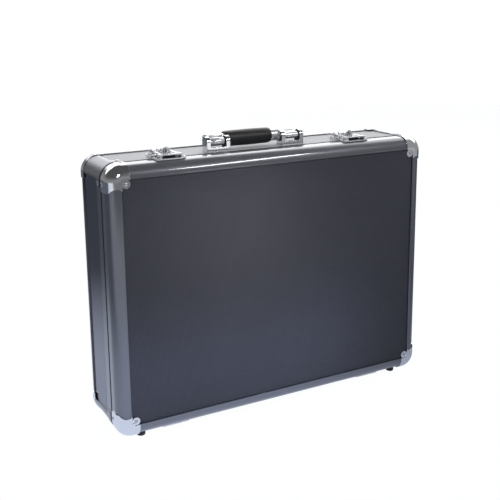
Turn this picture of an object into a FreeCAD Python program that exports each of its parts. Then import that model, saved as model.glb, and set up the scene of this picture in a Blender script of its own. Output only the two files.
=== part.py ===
import FreeCAD, Part
import math
import os
import Sketcher

# Carrying case: rear base tray, front lid hinged at the bottom, folding handle, two lever latches.
# Front is -Y, right is +X, up is +Z. Origin under the middle of the case, on the foot soles.

os.makedirs("parts", exist_ok=True)
doc = FreeCAD.newDocument("carrying_case")
Vector = FreeCAD.Vector
Rotation = FreeCAD.Rotation

# Driving sizes in millimetres

SIZES = {
    "case_width": 460.0, "case_height": 342.0, "case_depth": 102.0,
    "corner_radius": 20.0, "foot_height": 6.0, "wall": 1.6,
    "lid_side": 24.5, "round_inset": 5.0, "face_lip": 1.6, "face_step": 0.3, "rail_inner": 5.5,
    "front_slot": 12.0, "front_panel_thick": 4.0,
    "seam_gap": 3.0, "strip_depth": 13.5, "slot_start": 6.0, "web_start": 2.5,
    "side_panel_thick": 4.0, "lip_clear": 0.8, "lip_reach": 7.5,
    "rear_round": 5.0, "rear_face": 14.0, "rear_wall": 7.0, "rear_inner_wall": 10.0,
    "rear_slot": 9.2, "rear_panel_thick": 3.0, "side_slot_end": 5.6,
    "cap_skin": 1.2, "cap_leg": 7.0, "cap_side": 23.0, "cap_face": 3.0, "rear_cap_side": 12.0,
    "tab_place": 2.0, "tab_radius": 5.2, "tab_drop": 0.8,
    "cap_tongue": 12.0, "scallop_in": 10.5, "scallop_place": 16.5, "scallop_radius": 9.5, "scallop_deep": 8.0,
    "brace_start": 1.0, "brace_depth": 11.5, "brace_leg": 8.0, "brace_skin": 1.0,
    "rivet_base": 2.2, "rivet_tip": 1.3, "rivet_height": 0.9,
    "foam_inset": 7.0, "foam_face": 21.0, "core_clear": 0.4,
    "lining_inset": 7.4, "lining_wall": 3.0,
    "hinge_inset": 80.0, "hinge_half": 18.0, "knuckle_half": 6.0, "knuckle_gap": 0.3,
    "knuckle_radius": 2.4, "hinge_drop": 2.6, "leaf_thick": 1.5, "leaf_under": 0.2,
    "pin_radius": 1.2, "pin_clear": 0.05, "lid_leaf_start": 12.0, "leaf_clear": 3.0,
    "foot_inset": 34.0, "foot_radius": 5.5, "front_foot": 17.0, "rear_foot_inset": 17.0,
    "latch_offset": -10.0, "latch_inset": 95.0, "strike_half": 12.6, "strike_start": 11.0, "strike_end": 24.0,
    "strike_thick": 1.5, "rib_half": 7.5, "rib_start": 17.2, "rib_end": 19.4, "rib_top": 4.6,
    "ear_in": 12.3, "ear_out": 20.0, "ear_round": 4.0, "ear_top": 2.6,
    "strike_cheek_in": 12.6, "strike_cheek_out": 14.8, "strike_cheek_start": 11.6,
    "strike_cheek_end": 21.0, "strike_cheek_top": 6.4,
    "latch_plate": 1.2, "latch_half": 15.0, "latch_start": 28.5, "latch_end": 53.0,
    "rim_end": 48.0, "rim_round": 5.0, "rim_top": 3.8,
    "lever_pivot": 40.0, "lever_height": 5.0, "cheek_in": 5.3, "cheek_out": 7.5,
    "cheek_radius": 2.4, "lever_half": 5.0, "lever_start": 37.5, "lever_under": 3.0,
    "lever_top": 9.0, "lever_block_end": 48.0, "lever_wing_start": 46.8, "lever_wing_end": 53.5,
    "lever_wing_half": 12.5, "lever_wing_top": 7.0, "lever_wing_thick": 2.0, "curl_radius": 2.2,
    "curl_rise": 0.4, "hook_pivot": 44.0, "hook_height": 5.5, "eye_radius": 2.4,
    "hook_in": 8.5, "hook_out": 12.0, "hook_start": 12.5, "hook_bar": 4.0,
    "hook_under": 5.0, "hook_thick": 1.6, "hook_mid_start": 22.0,
    "lock_half": 6.2, "lock_start": 29.0, "lock_end": 34.5, "lock_arch": 7.0,
    "barrel_height": 8.6, "barrel_radius": 3.2, "barrel_front": 28.2, "barrel_end": 33.5,
    "key_width": 0.9, "key_tall": 3.6, "key_deep": 2.0,
    "handle_offset": -16.0, "bracket_x": 54.5, "bracket_half": 16.5, "bracket_start": 34.0,
    "bracket_end": 48.0, "bracket_plate": 1.5, "post_thick": 5.5, "post_round": 7.0,
    "post_straight": 12.0, "front_wall_top": 5.5, "front_wall_thick": 2.0,
    "handle_pivot": 41.0, "handle_height": 12.0, "handle_pin": 2.0, "end_gap": 0.5,
    "end_pivot_radius": 4.5, "grip_place": 57.0, "grip_radius": 10.5, "end_radius": 7.0,
    "ferrule_radius": 8.2, "grip_left": 37.0, "grip_right": 31.0,
}


class Dim:
    """A length that carries its value and the expression that drives it."""

    def __init__(self, value, text):
        self.value = value
        self.text = text

    @staticmethod
    def of(other):
        return other if isinstance(other, Dim) else Dim(float(other), repr(float(other)))

    def join(self, sign, other, value):
        return Dim(value, "(" + self.text + " " + sign + " " + other.text + ")")

    def __add__(self, other):
        other = Dim.of(other)
        return self.join("+", other, self.value + other.value)

    def __sub__(self, other):
        other = Dim.of(other)
        return self.join("-", other, self.value - other.value)

    def __mul__(self, other):
        other = Dim.of(other)
        return self.join("*", other, self.value * other.value)

    def __truediv__(self, other):
        other = Dim.of(other)
        return self.join("/", other, self.value / other.value)

    def __neg__(self):
        return Dim.of(0) - self

    def __radd__(self, other):
        return Dim.of(other) + self

    def __rsub__(self, other):
        return Dim.of(other) - self

    def __rmul__(self, other):
        return Dim.of(other) * self


sheet = doc.addObject("Spreadsheet::Sheet", "Sizes")


class Named:
    """Every driving size as an attribute, bound to its cell in the sheet."""


s = Named()
for row, (word, number) in enumerate(SIZES.items(), start=1):
    sheet.set("A%d" % row, word)
    sheet.set("B%d" % row, str(number))
    sheet.setAlias("B%d" % row, word)
    setattr(s, word, Dim(number, "Sizes." + word))
doc.recompute()

# Shared places: y_at counts from the front face, z_top and z_bottom are the outer faces

NONE = Dim.of(0)
y_front = -(s.case_depth / 2)
x_side = s.case_width / 2
z_bottom = s.foot_height
z_top = s.foot_height + s.case_height
z_mid = s.foot_height + s.case_height / 2
span_x = s.case_width - s.corner_radius * 2
span_z = s.case_height - s.corner_radius * 2
base_start = s.lid_side + s.seam_gap
strip_end = base_start + s.strip_depth
slot_floor = base_start + s.slot_start
web_face = base_start + s.web_start
inner_wall = s.wall + s.side_panel_thick


def y_at(depth):
    return y_front + depth


def bind(thing, prop, dim):
    thing.setExpression(prop, Dim.of(dim).text)


def place(thing, base, turn=None):
    if turn:
        thing.Placement = FreeCAD.Placement(Vector(0, 0, 0), Rotation(turn[0], turn[1]))
    for letter, dim in zip("xyz", base):
        bind(thing, "Placement.Base." + letter, dim)


# Builders for prisms, revolved corners and primitives

def draw(sketch, points):
    """Close an outline; a point is (x, y) or (x, y, centre_x, centre_y, radius) for an arc onwards."""
    count = len(points)
    starts = []
    for k, here in enumerate(points):
        there = points[(k + 1) % count]
        p = Vector(here[0].value, here[1].value, 0)
        q = Vector(there[0].value, there[1].value, 0)
        if len(here) == 2:
            sketch.addGeometry(Part.LineSegment(p, q))
            starts.append((1, 2))
            continue
        centre = Vector(here[2].value, here[3].value, 0)
        first = math.atan2(p.y - centre.y, p.x - centre.x)
        last = math.atan2(q.y - centre.y, q.x - centre.x)
        forward = (p - centre).cross(q - centre).z > 0
        if not forward:
            first, last = last, first
        if last < first:
            last += 2 * math.pi
        circle = Part.Circle(centre, Vector(0, 0, 1), here[4].value)
        sketch.addGeometry(Part.ArcOfCircle(circle, first, last))
        starts.append((1, 2) if forward else (2, 1))
    for k in range(count):
        after = (k + 1) % count
        sketch.addConstraint(Sketcher.Constraint("Coincident", k, starts[k][1], after, starts[after][0]))
    for k, here in enumerate(points):
        corner = starts[k][0]
        for kind, axis, dim in (("DistanceX", -2, here[0]), ("DistanceY", -1, here[1])):
            if abs(dim.value) < 1e-9:
                sketch.addConstraint(Sketcher.Constraint("PointOnObject", k, corner, axis))
                continue
            index = sketch.addConstraint(Sketcher.Constraint(kind, -1, 1, k, corner, dim.value))
            bind(sketch, "Constraints[%d]" % index, dim)
        if len(here) > 2:
            index = sketch.addConstraint(Sketcher.Constraint("Radius", k, here[4].value))
            bind(sketch, "Constraints[%d]" % index, here[4])


def new_body(name, points):
    body = doc.addObject("PartDesign::Body", name)
    sketch = body.newObject("Sketcher::SketchObject", name + "_outline")
    plane = [f for f in body.Origin.OriginFeatures if f.Role == "XY_Plane"][0]
    sketch.AttachmentSupport = [(plane, "")]
    sketch.MapMode = "FlatFace"
    draw(sketch, points)
    return body, sketch


def prism(name, points, length, base, turn=None):
    body, sketch = new_body(name, points)
    pad = body.newObject("PartDesign::Pad", name + "_pad")
    pad.Profile = sketch
    bind(pad, "Length", length)
    place(body, base, turn)
    return body


def quarter(name, points, base):
    body, sketch = new_body(name, points)
    turned = body.newObject("PartDesign::Revolution", name + "_turn")
    turned.Profile = sketch
    turned.ReferenceAxis = (sketch, ["V_Axis"])
    turned.Angle = 90.0
    place(body, base)
    return body


def box(name, low, high):
    made = doc.addObject("Part::Box", name)
    for prop, a, b in zip(("Length", "Width", "Height"), low, high):
        bind(made, prop, Dim.of(b) - a)
    place(made, low)
    return made


AXIS_TURN = {"x": (Vector(0, 1, 0), 90), "y": (Vector(1, 0, 0), -90), "z": None}


def rod(name, axis, base, radius, length):
    made = doc.addObject("Part::Cylinder", name)
    bind(made, "Radius", radius)
    bind(made, "Height", length)
    place(made, base, AXIS_TURN[axis])
    return made


def rivet(name, base, turn):
    made = doc.addObject("Part::Cone", name)
    bind(made, "Radius1", s.rivet_base)
    bind(made, "Radius2", s.rivet_tip)
    bind(made, "Height", s.rivet_height)
    place(made, base, turn)
    return made


def fuse(name, shapes):
    made = doc.addObject("Part::MultiFuse", name)
    made.Shapes = shapes
    made.Refine = True
    return made


def cut(name, base, tool):
    made = doc.addObject("Part::Cut", name)
    made.Base = base
    made.Tool = tool
    made.Refine = True
    return made


def mirror(name, source, normal, base):
    made = doc.addObject("Part::Mirroring", name)
    made.Source = source
    made.Normal = normal
    for letter, dim in zip("xyz", base):
        bind(made, "Base." + letter, dim)
    return made


ACROSS = Vector(1, 0, 0)
OVER = Vector(0, 0, 1)
nodes = []


def keep(thing, name):
    thing.Label = name
    nodes.append(thing)
    return thing


def corners(source):
    left = mirror(source.Name + "_bl", source, ACROSS, (NONE, NONE, NONE))
    upper = mirror(source.Name + "_tr", source, OVER, (NONE, NONE, z_mid))
    other = mirror(source.Name + "_tl", left, OVER, (NONE, NONE, z_mid))
    return (source, "bottom_right"), (left, "bottom_left"), (upper, "top_right"), (other, "top_left")


def keep_corners(word, source):
    for thing, where in corners(source):
        keep(thing, word + "_" + where)


def frame_of_four(word, section):
    """Four straight rails from one section (u inward from the outside, v back from the front)."""
    left = prism(word + "_section_left", section, span_z, (-x_side, y_front, z_bottom + s.corner_radius))
    top = prism(word + "_section_top", section, span_x, (s.corner_radius - x_side, y_front, z_top),
                (Vector(0, 1, 0), 90))
    keep(left, word + "_left")
    keep(mirror(word + "_right", left, ACROSS, (NONE, NONE, NONE)), word + "_right")
    keep(top, word + "_top")
    keep(mirror(word + "_bottom", top, OVER, (NONE, NONE, z_mid)), word + "_bottom")


# Lid frame rails: rounded outer edge, raised face lip, slot for the front panel

front_round = s.corner_radius - s.round_inset
frame_face = front_round + s.face_lip
slot_back = s.wall + s.front_panel_thick
flange_back = slot_back + s.wall
round_end = front_round + s.face_step
lid_section = [
    (NONE, s.lid_side),
    (NONE, round_end, front_round, round_end, front_round),
    (front_round, s.face_step),
    (front_round, NONE),
    (frame_face, NONE),
    (frame_face, s.wall),
    (s.front_slot, s.wall),
    (s.front_slot, slot_back),
    (frame_face, slot_back),
    (frame_face, flange_back),
    (s.rail_inner, flange_back),
    (s.wall, round_end),
    (s.wall, s.lid_side),
]
frame_of_four("lid_rail", lid_section)

# Base seam rails: bright strip, slot for the side panels, lip that reaches into the lid

lip_out = s.wall + s.lip_clear
lip_in = lip_out + s.wall
lip_tip = base_start - s.lip_reach
flange_in = inner_wall + s.wall
seam_section = [
    (NONE, base_start), (NONE, strip_end), (s.wall, strip_end), (s.wall, slot_floor),
    (inner_wall, slot_floor), (inner_wall, strip_end), (flange_in, strip_end), (flange_in, web_face),
    (lip_in, web_face), (lip_in, lip_tip), (lip_out, lip_tip), (lip_out, web_face),
    (s.wall, web_face), (s.wall, base_start),
]
frame_of_four("seam_rail", seam_section)

# Rear rails: rounded edge with slots for the side panels and the rear panel

def from_rear(depth):
    return s.case_depth - depth


rear_floor = s.wall + s.rear_panel_thick
rear_flange = rear_floor + s.wall
rear_section = [
    (NONE, from_rear(s.rear_wall)),
    (NONE, from_rear(s.rear_round), s.rear_round, from_rear(s.rear_round), s.rear_round),
    (s.rear_round, s.case_depth),
    (s.rear_face, s.case_depth),
    (s.rear_face, from_rear(s.wall)),
    (s.rear_slot, from_rear(s.wall)),
    (s.rear_slot, from_rear(rear_floor)),
    (s.rear_face, from_rear(rear_floor)),
    (s.rear_face, from_rear(rear_flange)),
    (flange_in, from_rear(rear_flange)),
    (flange_in, from_rear(s.rear_inner_wall)),
    (inner_wall, from_rear(s.rear_inner_wall)),
    (inner_wall, from_rear(s.side_slot_end)),
    (s.wall, from_rear(s.side_slot_end)),
    (s.wall, from_rear(s.rear_wall)),
]
frame_of_four("rear_rail", rear_section)

# Panels

front_inset = x_side - s.front_slot
keep(box("front_panel_box",
         (-front_inset, y_at(s.wall), z_bottom + s.front_slot),
         (front_inset, y_at(slot_back), z_top - s.front_slot)), "front_panel")
rear_inset = x_side - s.rear_slot
keep(box("rear_panel_box",
         (-rear_inset, y_at(from_rear(rear_floor)), z_bottom + s.rear_slot),
         (rear_inset, y_at(from_rear(s.wall)), z_top - s.rear_slot)), "rear_panel")
panel_front = y_at(slot_floor)
panel_rear = y_at(from_rear(s.side_slot_end))
left_panel = box("left_panel_box",
                 (s.wall - x_side, panel_front, z_bottom + s.corner_radius),
                 (inner_wall - x_side, panel_rear, z_top - s.corner_radius))
keep(left_panel, "side_panel_left")
keep(mirror("right_panel", left_panel, ACROSS, (NONE, NONE, NONE)), "side_panel_right")
top_panel = box("top_panel_box",
                (s.corner_radius - x_side, panel_front, z_top - inner_wall),
                (x_side - s.corner_radius, panel_rear, z_top - s.wall))
keep(top_panel, "top_panel")
keep(mirror("low_panel", top_panel, OVER, (NONE, NONE, z_mid)), "bottom_panel")

# Corner pieces are built at the bottom right and mirrored; r counts from the corner centre

centre_x = x_side - s.corner_radius
centre_z = z_bottom + s.corner_radius
DIAGONAL = Vector(1, 0, 1)


def from_edge(depth):
    return s.corner_radius - depth


def with_legs(word, turned, leg, extras, y_base):
    other = mirror(word + "_leg_b", leg, DIAGONAL, (centre_x, y_base, centre_z))
    return fuse(word, [turned, leg, other] + extras)


def cap_outline(face):
    """Skin over the lid edge, from the side wall round to the front; face counts from the corner centre."""
    skin = s.cap_skin
    mid = from_edge(front_round)
    return [
        (s.corner_radius + skin, skin + s.cap_side),
        (s.corner_radius + skin, skin + front_round, mid, skin + front_round, front_round + skin),
        (mid, NONE),
        (face, NONE),
        (face, skin),
        (mid, skin),
        (mid, skin + s.face_step, mid, skin + round_end, front_round),
        (s.corner_radius, skin + round_end),
        (s.corner_radius, skin + s.cap_side),
    ]


cap_y = y_front - s.cap_skin
cap_base = (centre_x, cap_y, centre_z)
tab_x = centre_x - s.tab_place
tab_z = centre_z + s.tab_place
front_tab = rod("front_tab", "y", (tab_x, cap_y + s.tab_drop, tab_z), s.tab_radius,
                s.cap_skin - s.tab_drop + s.wall)
tongue = prism("front_cap_tongue", cap_outline(s.cap_face), s.cap_tongue, cap_base)
scallop = rod("cap_scallop", "y", (x_side - s.scallop_in, cap_y, centre_z + s.scallop_place),
              s.scallop_radius, s.scallop_deep)
front_cap = with_legs(
    "front_cap", quarter("front_cap_turn", cap_outline(NONE), cap_base),
    prism("front_cap_leg", cap_outline(s.cap_face), s.cap_leg, cap_base),
    [cut("front_cap_scalloped", tongue, scallop), front_tab], cap_y)
keep_corners("front_cap", front_cap)


def rear_cap_outline(face):
    """Skin over the rear edge, as far in as face."""
    skin = s.cap_skin
    mid = from_edge(s.rear_round)
    turn_at = from_rear(s.rear_round)
    return [
        (s.corner_radius + skin, from_rear(s.rear_cap_side)),
        (s.corner_radius + skin, turn_at, mid, turn_at, s.rear_round + skin),
        (mid, s.case_depth + skin),
        (from_edge(face), s.case_depth + skin),
        (from_edge(face), s.case_depth),
        (mid, s.case_depth, mid, turn_at, s.rear_round),
        (s.corner_radius, turn_at),
        (s.corner_radius, from_rear(s.rear_cap_side)),
    ]


case_base = (centre_x, y_front, centre_z)
rear_tab = rod("rear_tab", "y", (tab_x, y_at(from_rear(s.wall)), tab_z), s.tab_radius,
               s.wall + s.cap_skin - s.tab_drop)
rear_cap = with_legs(
    "rear_cap", quarter("rear_cap_turn", rear_cap_outline(s.corner_radius), case_base),
    prism("rear_cap_leg", rear_cap_outline(s.rear_face), s.cap_leg, case_base), [rear_tab], y_front)
keep_corners("rear_cap", rear_cap)

# Corner posts of the base, with the lip carried round and a riveted brace beside the seam

brace_low = base_start + s.brace_start
brace_high = brace_low + s.brace_depth
post_section = [
    (s.corner_radius, base_start), (s.corner_radius, brace_low),
    (s.corner_radius + s.brace_skin, brace_low), (s.corner_radius + s.brace_skin, brace_high),
    (s.corner_radius, brace_high), (s.corner_radius, from_rear(s.rear_wall)),
    (from_edge(inner_wall), from_rear(s.rear_wall)), (from_edge(inner_wall), web_face),
    (from_edge(lip_in), web_face), (from_edge(lip_in), lip_tip), (from_edge(lip_out), lip_tip),
    (from_edge(lip_out), web_face), (from_edge(s.wall), web_face), (from_edge(s.wall), base_start),
]
brace_section = [
    (s.corner_radius, brace_low), (s.corner_radius + s.brace_skin, brace_low),
    (s.corner_radius + s.brace_skin, brace_high), (s.corner_radius, brace_high),
]
post = with_legs(
    "corner_post", quarter("post_turn", post_section, case_base),
    prism("post_leg", brace_section, s.brace_leg, case_base), [], y_front)
keep_corners("corner_post", post)

# Rivets

TO_FRONT = (Vector(1, 0, 0), 90)
TO_REAR = (Vector(1, 0, 0), -90)
TO_RIGHT = (Vector(0, 1, 0), 90)
TO_DOWN = (Vector(1, 0, 0), 180)


def all_rivets(word, at_corner):
    source = fuse(word + "_corner", at_corner)
    keep(fuse(word, [thing for thing, where in corners(source)]), word)


half_leg = s.corner_radius + s.cap_leg / 2
lid_side_rivet = y_at(s.cap_side - s.rivet_base - 1.5)
all_rivets("lid_rivets", [
    rivet("lid_rivet_face", (tab_x, cap_y + s.tab_drop, tab_z), TO_FRONT),
    rivet("lid_rivet_side", (x_side + s.cap_skin, lid_side_rivet, z_bottom + half_leg), TO_RIGHT),
    rivet("lid_rivet_under", (x_side - half_leg, lid_side_rivet, z_bottom - s.cap_skin), TO_DOWN),
])
half_brace = s.corner_radius + s.brace_leg / 2
brace_rivet = y_at((brace_low + brace_high) / 2)
all_rivets("base_rivets", [
    rivet("base_rivet_face", (tab_x, y_at(s.case_depth) + s.cap_skin - s.tab_drop, tab_z), TO_REAR),
    rivet("base_rivet_side", (x_side + s.brace_skin, brace_rivet, z_bottom + half_brace), TO_RIGHT),
    rivet("base_rivet_under", (x_side - half_brace, brace_rivet, z_bottom - s.brace_skin), TO_DOWN),
])

# Soft lid liner and hard base lining

def rounded(width, height, radius):
    far_x = width - radius
    far_z = height - radius
    return [
        (radius, NONE), (far_x, NONE, far_x, radius, radius), (width, radius),
        (width, far_z, far_x, far_z, radius), (far_x, height), (radius, height, radius, far_z, radius),
        (NONE, far_z), (NONE, radius, radius, radius, radius),
    ]


def tray_block(name, inset, near, far):
    """Rounded block that follows the case outline, inset from it, between two depths."""
    return prism(name, rounded(s.case_width - inset * 2, s.case_height - inset * 2,
                               s.corner_radius - inset), far - near,
                 (inset - x_side, y_at(far), z_bottom + inset), (Vector(1, 0, 0), 90))


core_inset = frame_face + s.core_clear
foam_core = box("foam_core", (core_inset - x_side, y_at(slot_back), z_bottom + core_inset),
                (x_side - core_inset, y_at(s.foam_face), z_top - core_inset))
keep(fuse("foam", [tray_block("foam_block", s.foam_inset, flange_back, s.foam_face), foam_core]), "lid_foam")
lining_back = from_rear(rear_flange)
lining_inner = s.lining_inset + s.lining_wall
keep(cut("lining", tray_block("lining_block", s.lining_inset, web_face, lining_back),
         tray_block("lining_hollow", lining_inner, web_face, lining_back - s.lining_wall)), "base_lining")

# Hinges under the seam

hinge_y = y_at(s.lid_side + s.seam_gap / 2)
hinge_z = z_bottom - s.hinge_drop
leaf_low = z_bottom - s.leaf_thick
link_top = z_bottom - s.leaf_under
outer_from = s.knuckle_half + s.knuckle_gap
pin_hole = s.pin_radius + s.pin_clear


def hinge_at(word, middle):
    low_x = middle - s.hinge_half
    high_x = middle + s.hinge_half
    length = s.hinge_half - outer_from
    base_leaf = fuse(word + "_base_leaf", [
        box(word + "_base_plate", (low_x, hinge_y + s.leaf_clear, leaf_low),
            (high_x, y_at(strip_end), z_bottom)),
        box(word + "_base_link", (middle - s.knuckle_half, hinge_y, leaf_low),
            (middle + s.knuckle_half, hinge_y + s.leaf_clear, link_top)),
        rod(word + "_base_knuckle", "x", (middle - s.knuckle_half, hinge_y, hinge_z),
            s.knuckle_radius, s.knuckle_half * 2)])
    base_leaf = cut(word + "_base_bored", base_leaf,
                    rod(word + "_base_bore", "x", (low_x, hinge_y, hinge_z), s.pin_radius, s.hinge_half * 2))
    solids = [box(word + "_lid_plate", (low_x, y_at(s.lid_leaf_start), leaf_low),
                  (high_x, hinge_y - s.knuckle_radius, z_bottom))]
    for side, start in (("a", low_x), ("b", middle + outer_from)):
        solids.append(box(word + "_lid_link_" + side, (start, hinge_y - s.knuckle_radius, leaf_low),
                          (start + length, hinge_y, link_top)))
        solids.append(rod(word + "_lid_knuckle_" + side, "x", (start, hinge_y, hinge_z),
                          s.knuckle_radius, length))
    lid_leaf = cut(word + "_lid_bored", fuse(word + "_lid_leaf", solids),
                   rod(word + "_lid_bore", "x", (low_x, hinge_y, hinge_z), pin_hole, s.hinge_half * 2))
    pin = rod(word + "_pin", "x", (low_x, hinge_y, hinge_z), s.pin_radius, s.hinge_half * 2)
    return base_leaf, lid_leaf, pin


def both_sides(name, source):
    return fuse(name, [source, mirror(name + "_flip", source, ACROSS, (NONE, NONE, NONE))])


base_leaf, lid_leaf, hinge_pin = hinge_at("hinge", x_side - s.hinge_inset)
keep(both_sides("base_leaves", base_leaf), "hinge_base_leaves")
keep(both_sides("lid_leaves", lid_leaf), "hinge_lid_leaves")
keep(both_sides("pins", hinge_pin), "hinge_pins")

# Rubber feet: the front pair under the lid, the rear pair under the base

foot_x = x_side - s.foot_inset
front_foot = rod("front_foot_rod", "z", (foot_x, y_at(s.front_foot), NONE), s.foot_radius, z_bottom)
keep(both_sides("front_feet", front_foot), "rubber_feet_front")
rear_foot = rod("rear_foot_rod", "z", (foot_x, y_at(from_rear(s.rear_foot_inset)), NONE), s.foot_radius,
                z_bottom + s.wall)
keep(both_sides("rear_feet", rear_foot), "rubber_feet_rear")

# Latches, built on the right and mirrored

lx = s.latch_offset + (x_side - s.latch_inset)


def keep_latch(word, source):
    """Keep a right-hand latch piece and its left-hand mirror."""
    keep(source, word + "_right")
    keep(mirror(word + "_flip", source, ACROSS, (s.latch_offset, NONE, NONE)), word + "_left")


def ear_pair(word, depth, radius, near, height):
    """A block with rounded outer corners at each side of the latch."""
    wide = s.ear_out - s.ear_in
    source = prism(word, [
        (NONE, NONE), (wide - radius, NONE, wide - radius, radius, radius), (wide, radius),
        (wide, depth - radius, wide - radius, depth - radius, radius), (wide - radius, depth), (NONE, depth),
    ], height, (lx + s.ear_in, y_at(near), z_top))
    return [source, mirror(word + "_other", source, ACROSS, (lx, NONE, NONE))]


strike_cheek = box("strike_cheek", (lx + s.strike_cheek_in, y_at(s.strike_cheek_start), z_top),
                   (lx + s.strike_cheek_out, y_at(s.strike_cheek_end), z_top + s.strike_cheek_top))
strike = fuse("strike", [
    box("strike_plate", (lx - s.strike_half, y_at(s.strike_start), z_top),
        (lx + s.strike_half, y_at(s.strike_end), z_top + s.strike_thick)),
    box("strike_rib", (lx - s.rib_half, y_at(s.rib_start), z_top + s.strike_thick),
        (lx + s.rib_half, y_at(s.rib_end), z_top + s.rib_top)),
    strike_cheek, mirror("strike_cheek_other", strike_cheek, ACROSS, (lx, NONE, NONE))]
    + ear_pair("strike_ear", s.strike_end - s.strike_start, s.ear_round, s.strike_start, s.ear_top))
keep_latch("strike", strike)

panel_z = z_top - s.wall
plate_z = z_top + s.latch_plate
pivot_y = y_at(s.lever_pivot)
pivot_z = z_top + s.lever_height
lock_y = y_at(s.lock_start)
barrel_z = z_top + s.barrel_height
latch_parts = [
    box("latch_plate_box", (lx - s.latch_half, y_at(s.latch_start), z_top),
        (lx + s.latch_half, y_at(s.latch_end), plate_z)),
    box("latch_packer", (lx - s.latch_half, y_at(strip_end), panel_z),
        (lx + s.latch_half, y_at(s.latch_end), z_top)),
    box("lock_block", (lx - s.lock_half, lock_y, plate_z),
        (lx + s.lock_half, y_at(s.lock_end), z_top + s.lock_arch)),
    rod("lock_arch_rod", "y", (lx, lock_y, z_top + s.lock_arch), s.lock_half, s.lock_end - s.lock_start),
] + ear_pair("latch_rim", s.rim_end - s.latch_start, s.rim_round, s.latch_start, s.rim_top)
for side, sign in (("a", -1), ("b", 1)):
    near = lx + s.cheek_in if sign > 0 else lx - s.cheek_out
    wide = s.cheek_out - s.cheek_in
    latch_parts.append(box("cheek_" + side, (near, pivot_y - s.cheek_radius, plate_z),
                           (near + wide, pivot_y + s.cheek_radius, pivot_z)))
    latch_parts.append(rod("cheek_top_" + side, "x", (near, pivot_y, pivot_z), s.cheek_radius, wide))
latch_holes = fuse("latch_holes", [
    rod("lock_bore", "y", (lx, lock_y, barrel_z), s.barrel_radius + s.pin_clear, s.barrel_end - s.lock_start),
    rod("cheek_bore", "x", (lx - s.cheek_out, pivot_y, pivot_z), s.pin_radius, s.cheek_out * 2)])
keep_latch("latch_base", cut("latch_base", fuse("latch_body", latch_parts), latch_holes))
lever_pin = rod("lever_pin", "x", (lx - s.cheek_out, pivot_y, pivot_z), s.pin_radius, s.cheek_out * 2)
keep(fuse("lever_pin_pair", [
    lever_pin, mirror("lever_pin_flip", lever_pin, ACROSS, (s.latch_offset, NONE, NONE))]), "lever_pins")

hook_y = y_at(s.hook_pivot)
hook_z = z_top + s.hook_height
lever_parts = [
    box("lever_block", (lx - s.lever_half, y_at(s.lever_start), z_top + s.lever_under),
        (lx + s.lever_half, y_at(s.lever_block_end), z_top + s.lever_top)),
    box("lever_wing",
        (lx - s.lever_wing_half, y_at(s.lever_wing_start), z_top + s.lever_wing_top - s.lever_wing_thick),
        (lx + s.lever_wing_half, y_at(s.lever_wing_end), z_top + s.lever_wing_top)),
]
for side, sign in (("a", -1), ("b", 1)):
    lever_parts.append(rod(
        "lever_curl_" + side, "y",
        (lx + s.lever_wing_half * sign, y_at(s.lever_wing_start), z_top + s.lever_wing_top - s.curl_rise),
        s.curl_radius, s.lever_wing_end - s.lever_wing_start))
lever_holes = fuse("lever_holes", [
    rod("lever_bore", "x", (lx - s.lever_half, pivot_y, pivot_z), pin_hole, s.lever_half * 2),
    rod("lever_hook_bore", "x", (lx - s.lever_half, hook_y, hook_z), s.pin_radius, s.lever_half * 2)])
keep_latch("lever", cut("lever", fuse("lever_body", lever_parts), lever_holes))
keep_latch("hook_pin", rod("hook_pin", "x", (lx - s.hook_out, hook_y, hook_z), s.pin_radius, s.hook_out * 2))

hook_low = z_top + s.hook_under
hook_high = hook_low + s.hook_thick
hook_front = y_at(s.hook_start)
hook_parts = []
for word, start in (("hook_front_bar", s.hook_start), ("hook_mid_bar", s.hook_mid_start)):
    hook_parts.append(box(word, (lx - s.hook_out, y_at(start), hook_low),
                          (lx + s.hook_out, y_at(start) + s.hook_bar, hook_high)))
arm_wide = s.hook_out - s.hook_in
for side, near in (("a", lx - s.hook_out), ("b", lx + s.hook_in)):
    hook_parts.append(box("hook_arm_" + side, (near, hook_front, hook_low),
                          (near + arm_wide, hook_y, hook_high)))
    hook_parts.append(rod("hook_eye_" + side, "x", (near, hook_y, hook_z), s.eye_radius, arm_wide))
keep_latch("hook", cut("hook", fuse("hook_body", hook_parts),
                      rod("hook_bore", "x", (lx - s.hook_out, hook_y, hook_z), pin_hole, s.hook_out * 2)))

barrel_y = y_at(s.barrel_front)
keep_latch("key_barrel", cut(
    "key_barrel",
    rod("barrel_rod", "y", (lx, barrel_y, barrel_z), s.barrel_radius, s.barrel_end - s.barrel_front),
    box("keyway", (lx - s.key_width / 2, barrel_y, barrel_z - s.key_tall / 2),
        (lx + s.key_width / 2, barrel_y + s.key_deep, barrel_z + s.key_tall / 2))))

# Handle: two brackets on the top panel, pins, chrome ends and a black grip

hx = s.handle_offset
bx = hx + s.bracket_x
hp_y = y_at(s.handle_pivot)
hp_z = z_top + s.handle_height
bracket_y = y_at(s.bracket_start)
bracket_back = y_at(s.bracket_end)
bracket_floor = z_top + s.bracket_plate
post_turn_z = z_top + s.post_straight
bracket_parts = [
    box("bracket_plate_box", (bx - s.bracket_half, bracket_y, z_top),
        (bx + s.bracket_half, bracket_back, bracket_floor)),
    box("bracket_packer", (bx - s.bracket_half, y_at(strip_end), panel_z),
        (bx + s.bracket_half, bracket_back, z_top)),
    box("bracket_front", (bx - s.bracket_half, bracket_y, bracket_floor),
        (bx + s.bracket_half, bracket_y + s.front_wall_thick, z_top + s.front_wall_top)),
]
for side, near in (("a", bx - s.bracket_half), ("b", bx + s.bracket_half - s.post_thick)):
    bracket_parts.append(box("post_" + side, (near, bracket_y, bracket_floor),
                             (near + s.post_thick, bracket_back, post_turn_z)))
    bracket_parts.append(rod("post_top_" + side, "x", (near, hp_y, post_turn_z), s.post_round, s.post_thick))


def handle_copy(name, source):
    return mirror(name, source, ACROSS, (hx, NONE, NONE))


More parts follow.
